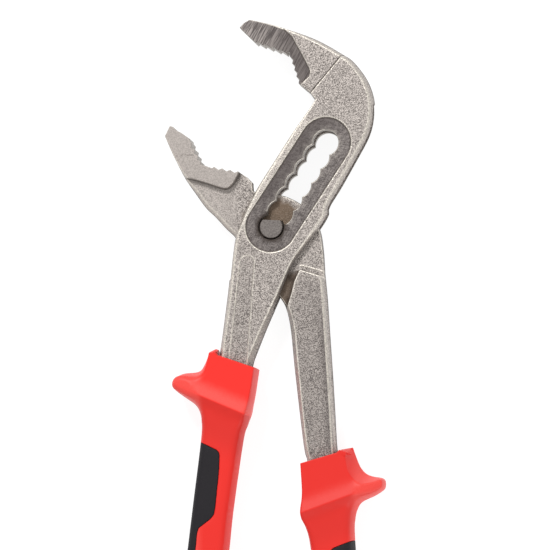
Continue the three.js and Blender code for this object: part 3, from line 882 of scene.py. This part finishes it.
class Shader:
    """A material's node tree, built with short calls."""

    def __init__(self, name):
        self.material = bpy.data.materials.new(name)
        self.material.use_nodes = True
        self.tree = self.material.node_tree
        self.surface = self.tree.nodes["Principled BSDF"]
        self.coordinates = self.add("ShaderNodeTexCoord").outputs["Object"]

    def add(self, kind, inputs=None, **settings):
        made = self.tree.nodes.new(kind)
        for key, value in settings.items():
            setattr(made, key, value)
        for key, value in (inputs or {}).items():
            self.put(made.inputs[key], value)
        return made

    def put(self, socket, value):
        if isinstance(value, bpy.types.NodeSocket):
            self.tree.links.new(value, socket)
        else:
            socket.default_value = value

    def noise(self, scale, detail=2.0, roughness=0.5, stretch=(1, 1, 1), turn=0.0):
        """Noise along a direction; a slight tilt keeps its lattice off the flat faces."""
        turned = self.add("ShaderNodeMapping", {"Vector": self.coordinates})
        turned.inputs["Rotation"].default_value = (0.0, 0.0, -turn)
        tilted = self.add("ShaderNodeMapping", {"Vector": turned.outputs["Vector"], "Scale": stretch})
        tilted.inputs["Rotation"].default_value = (0.5, 0.0, 0.0)
        return self.add("ShaderNodeTexNoise", {
            "Vector": tilted.outputs["Vector"], "Scale": scale, "Detail": detail, "Roughness": roughness,
        }).outputs["Fac"]

    def cells(self, scale):
        """Random value from 0 to 1 per small cell."""
        made = self.add("ShaderNodeTexVoronoi", {"Vector": self.coordinates, "Scale": scale})
        return self.add("ShaderNodeSeparateColor", {"Color": made.outputs["Color"]}).outputs["Red"]

    def blend(self, factor, a, b):
        """Number between a and b."""
        made = self.add("ShaderNodeMix", data_type="FLOAT")
        for key, value in ((0, factor), (2, a), (3, b)):
            self.put(made.inputs[key], value)
        return made.outputs[0]

    def attribute(self, name):
        return self.add("ShaderNodeAttribute", attribute_name=name).outputs["Fac"]

    def math(self, operation, a, b=0.0, clamp=False):
        return self.add("ShaderNodeMath", {0: a, 1: b}, operation=operation, use_clamp=clamp).outputs[0]

    def remap(self, value, low, high, to_low=0.0, to_high=1.0):
        return self.add("ShaderNodeMapRange", {
            "Value": value, "From Min": low, "From Max": high, "To Min": to_low, "To Max": to_high,
        }).outputs["Result"]

    def mix(self, factor, a, b):
        """Colour between a and b."""
        made = self.add("ShaderNodeMix", data_type="RGBA")
        self.put(made.inputs["Factor"], factor)
        self.put(made.inputs["A"], a)
        self.put(made.inputs["B"], b)
        return made.outputs["Result"]

    def bump(self, height, strength, distance, before=None):
        made = self.add("ShaderNodeBump", {"Height": height, "Strength": strength, "Distance": distance})
        if before is not None:
            self.put(made.inputs["Normal"], before)
        return made.outputs["Normal"]


def steel_material(name, light, dark):
    """Blasted forged steel: speckle, brushed ground faces, worn edges with a painted highlight, dirt and
    painted shade in corners, walls in a painted reflection.
    """
    s = Shader(name)
    wear_and_highlight, ground, shade, calm, dirt_and_shade, stripe, oil = (s.attribute(name) for name in MASKS)
    normal_z = s.math("ABSOLUTE", s.add("ShaderNodeSeparateXYZ", {
        "Vector": s.add("ShaderNodeNewGeometry").outputs["True Normal"]}).outputs["Z"])
    face = s.remap(normal_z, 0.05, 0.12)
    speck = s.blend(0.2, s.cells(CELL_SCALE), s.noise(SPECK_SCALE, 2.0, 0.7))
    blotch = s.noise(BLOTCH_SCALE, 3.0, 0.6)
    forged = s.mix(s.remap(speck, 0.3, 0.7), dark, light)
    even = tuple(0.32 * d + 0.68 * c for d, c in zip(dark, light))
    forged = s.mix(s.math("MULTIPLY", calm, 0.75), forged, even)
    dull = tuple(0.75 * c for c in light[:3]) + (1,)
    forged = s.mix(s.remap(blotch, 0.35, 0.75, 0.0, 0.25), forged, dull)
    fine = s.noise(BRUSH_SCALE, 2.0, 0.6, BRUSH_STRETCH, BRUSH_TURN)
    cross = s.noise(BRUSH_SCALE, 2.0, 0.6, BRUSH_STRETCH, CROSS_TURN)
    coarse = s.noise(STRIPE_SCALE, 3.0, 0.65, STRIPE_STRETCH, BRUSH_TURN)
    hatch = s.math("ADD", s.math("MULTIPLY", fine, 0.5), s.math("MULTIPLY", cross, 0.5))
    hatch = s.math("ADD", s.math("MULTIPLY", hatch, 0.8), s.math("MULTIPLY", speck, 0.2))
    lines = s.blend(stripe, hatch, coarse)
    brushed = s.mix(s.remap(lines, 0.425, 0.575), *BRUSHED_COLOURS)
    colour = s.mix(ground, forged, brushed)
    # Darker tone, and painted shadow beside the right panel's rim, from the dark mask.
    colour = s.mix(s.math("MULTIPLY", shade, 0.52, clamp=True), colour, SHADED_COLOUR)
    # Brown of oil, partly painted shade under the cheeks and between the levers.
    colour = s.mix(s.math("MULTIPLY", oil, 0.92), colour, s.mix(speck, *OIL_AND_SHADE_COLOURS))
    # Worn edges lightened as polish and a painted highlight.
    polish_and_highlight = s.math("MULTIPLY", wear_and_highlight, s.remap(speck, 0.1, 0.8, 0.45, 1.0))
    colour = s.mix(polish_and_highlight, colour, WORN_AND_HIGHLIGHT_COLOUR)
    # Near-upright walls take one even grey, a painted reflection of the bright surroundings.
    colour = s.mix(face, SIDE_WALL_REFLECTION_COLOUR, colour)
    # Dirt, and painted shade in corners, at the feet of steps and along silhouettes.
    dirt_and_shade_share = s.math("MULTIPLY", dirt_and_shade, s.remap(blotch, 0.3, 0.7, 1.0, 0.75))
    colour = s.mix(dirt_and_shade_share, colour, DIRT_AND_SHADE_COLOUR)
    s.put(s.surface.inputs["Base Color"], colour)
    s.surface.inputs["Metallic"].default_value = 0.75
    rough = s.remap(speck, 0.0, 1.0, 0.48, 0.6)
    s.put(s.surface.inputs["Roughness"], s.math("SUBTRACT", rough, s.math("MULTIPLY", wear_and_highlight, 0.14)))
    rough_part = s.math("SUBTRACT", 1.0, s.math("MAXIMUM", ground, calm))
    grit = s.math("MULTIPLY", rough_part, s.noise(GRIT_SCALE, 1.0))
    normal = s.bump(grit, 0.7, 0.0002)
    normal = s.bump(s.math("MULTIPLY", lines, ground), 0.25, 0.0001, normal)
    s.put(s.surface.inputs["Normal"], normal)
    return s.material


def moulded_material(name, colours, roughness, shine, grain_scale, grain_depth):
    """Satin moulded elastomer: fine grain, slight colour variation, a painted highlight in a paler colour and
    painted shade in a deeper one.
    """
    s = Shader(name)
    colour, deep, highlight_colour = colours
    sheen, shade = s.attribute("oil"), s.attribute("dark")
    broad = s.noise(TONE_SCALE, 2.0, 0.5)
    fine = s.noise(grain_scale, 3.0, 0.6)
    tone = s.mix(s.remap(broad, 0.35, 0.7, 0.0, 0.12), colour, deep)
    # Painted shade towards the deeper colour.
    tone = s.mix(shade, tone, deep)
    # Painted highlight, broken up by the grain.
    sheen_share = s.math("MULTIPLY", sheen, s.remap(fine, 0.35, 0.65, 0.65, 1.0))
    s.put(s.surface.inputs["Base Color"], s.mix(sheen_share, tone, highlight_colour))
    s.put(s.surface.inputs["Roughness"], s.remap(fine, 0.3, 0.7, roughness - 0.05, roughness + 0.07))
    s.surface.inputs["Specular IOR Level"].default_value = shine
    s.put(s.surface.inputs["Normal"], s.bump(fine, 0.3, grain_depth))
    return s.material


def floor_material():
    """White light table."""
    s = Shader("floor_paper")
    tooth = s.noise(FLOOR_SCALE, 3.0, 0.6)
    s.put(s.surface.inputs["Base Color"], s.mix(tooth, *FLOOR_COLOURS))
    s.surface.inputs["Roughness"].default_value = 0.9
    s.surface.inputs["Emission Color"].default_value = (1, 1, 1, 1)
    s.surface.inputs["Emission Strength"].default_value = FLOOR_GLOW
    return s.material


# ---- pieces ----
# Edges sharper than this many degrees are shaded crisp.
STEEL_CREASE = 32
MOULDED_CREASE = 50


def finish_piece(piece, node, material, body, crisp=STEEL_CREASE):
    """Puts a drawn piece in its place in the frame, as the stand-in for its CAD node."""
    settle(piece, crisp)
    piece.data.materials.clear()
    piece.data.materials.append(material)
    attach(piece, body)
    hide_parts(node)


def build_levers():
    steel = steel_material("forged_steel", *FORGED_COLOURS)
    slotted = relief_mesh("slotted_lever_forging", slotted_lever_relief, [SLOTTED_OUTLINE, SLOT_LOOP])
    subtract(slotted, prism("window", WINDOW, TONGUE_HALF + GAP))
    mask(slotted, slotted_lever_relief)
    finish_piece(slotted, "slotted_lever", steel, "fixed_lever")
    through = relief_mesh("through_lever_forging", through_lever_relief,
                          [THROUGH_OUTLINE, circle(COLLAR_R + BORE_CLEARANCE)])
    mask(through, through_lever_relief)
    finish_piece(through, "through_lever", steel, "moving_lever")
    pin = relief_mesh("pivot_pin_turned", pin_relief, [circle(COLLAR_R)], pitch=PIN_PITCH)
    mask(pin, pin_relief)
    turned = steel_material("turned_steel", *TURNED_COLOURS)
    finish_piece(pin, "pivot_pin", turned, "pin")


def build_grips():
    red = moulded_material("red_elastomer", RED_COLOURS, .42, .22, 2600, 0.00006)
    black = moulded_material("black_elastomer", BLACK_COLOURS, .65, .3, 1800, 0.0001)
    for side, grip, body in (("left", Grip(LEFT_GUARD, LEFT_END, LEFT_LIP, 0.0), "fixed_lever"),
                             ("right", Grip(RIGHT_GUARD, RIGHT_END, RIGHT_LIP, 0.6), "moving_lever")):
        sleeve, inlay = grip.build(side)
        if side == "right":
            onto_right_handle(sleeve)
            onto_right_handle(inlay)
        finish_piece(sleeve, side + "_grip_sleeve", red, body, MOULDED_CREASE)
        finish_piece(inlay, side + "_grip_inlay", black, body, MOULDED_CREASE)


# ---- floor, light and camera ----
# In metres, watts and degrees, but the sensor and the focal length are in millimetres.
FLOOR_HALF, FLOOR_DROP = 4.0, 0.0001
KEY_PLACE, KEY_SIZE, KEY_POWER = (-0.35, 0.95, 1.1), 0.35, 12
FILL_PLACE, FILL_SIZE, FILL_POWER = (0.6, -0.8, 0.7), 0.6, 4
SKY_STRENGTH = 0.62
FLOOR_GLOW = 0.88
CAMERA_YAW, CAMERA_TIP, CAMERA_DISTANCE = 8.0, 5.8, 1.12
CAMERA_AIM = Vector((0.9, -18.88, 0)) * MM  # from the pin
SENSOR = 36.0
FOCAL_LENGTH = SENSOR * 2800 / 550
CAMERA_REACH = 20


def build_floor():
    mesh = bpy.data.meshes.new("floor")
    half, drop = FLOOR_HALF, FLOOR_DROP
    corners = [(-half, -half, -drop), (half, -half, -drop), (half, half, -drop), (-half, half, -drop)]
    mesh.from_pydata(corners, [], [(0, 1, 2, 3)])
    floor = bpy.data.objects.new("floor", mesh)
    bpy.context.scene.collection.objects.link(floor)
    mesh.materials.append(floor_material())


def softbox(name, place, size, power):
    """Round soft light that points at the pin."""
    light = bpy.data.lights.new(name, "AREA")
    light.shape = "DISK"
    light.size = size
    light.energy = power
    lamp = bpy.data.objects.new(name, light)
    lamp.location = place
    lamp.rotation_euler = (PIN - Vector(place)).to_track_quat("-Z", "Y").to_euler()
    bpy.context.scene.collection.objects.link(lamp)


def build_light():
    world = bpy.data.worlds.new("studio")
    bpy.context.scene.world = world
    world.use_nodes = True
    sky = world.node_tree.nodes["Background"]
    sky.inputs["Color"].default_value = (1, 1, 1, 1)
    sky.inputs["Strength"].default_value = SKY_STRENGTH
    softbox("key", KEY_PLACE, KEY_SIZE, KEY_POWER)
    softbox("fill", FILL_PLACE, FILL_SIZE, FILL_POWER)


def build_camera():
    """Nearly straight down on the pliers, from a little to the right and towards the handles."""
    yaw, tip = math.radians(CAMERA_YAW), math.radians(CAMERA_TIP)
    back = Vector((math.sin(yaw) * math.cos(tip), -math.sin(tip), math.cos(yaw) * math.cos(tip)))
    right = Vector((math.cos(yaw), 0, -math.sin(yaw)))
    up = back.cross(right)
    lens = bpy.data.cameras.new("camera")
    lens.sensor_width = SENSOR
    lens.lens = FOCAL_LENGTH
    lens.clip_end = CAMERA_REACH
    camera = bpy.data.objects.new("camera", lens)
    turn = Matrix((right, up, back)).transposed().to_4x4()
    camera.matrix_world = Matrix.Translation(PIN + CAMERA_AIM + back * CAMERA_DISTANCE) @ turn
    bpy.context.scene.collection.objects.link(camera)
    bpy.context.scene.camera = camera


build_levers()
build_grips()
build_floor()
build_light()
build_camera()
bpy.context.scene.view_settings.view_transform = "Standard"
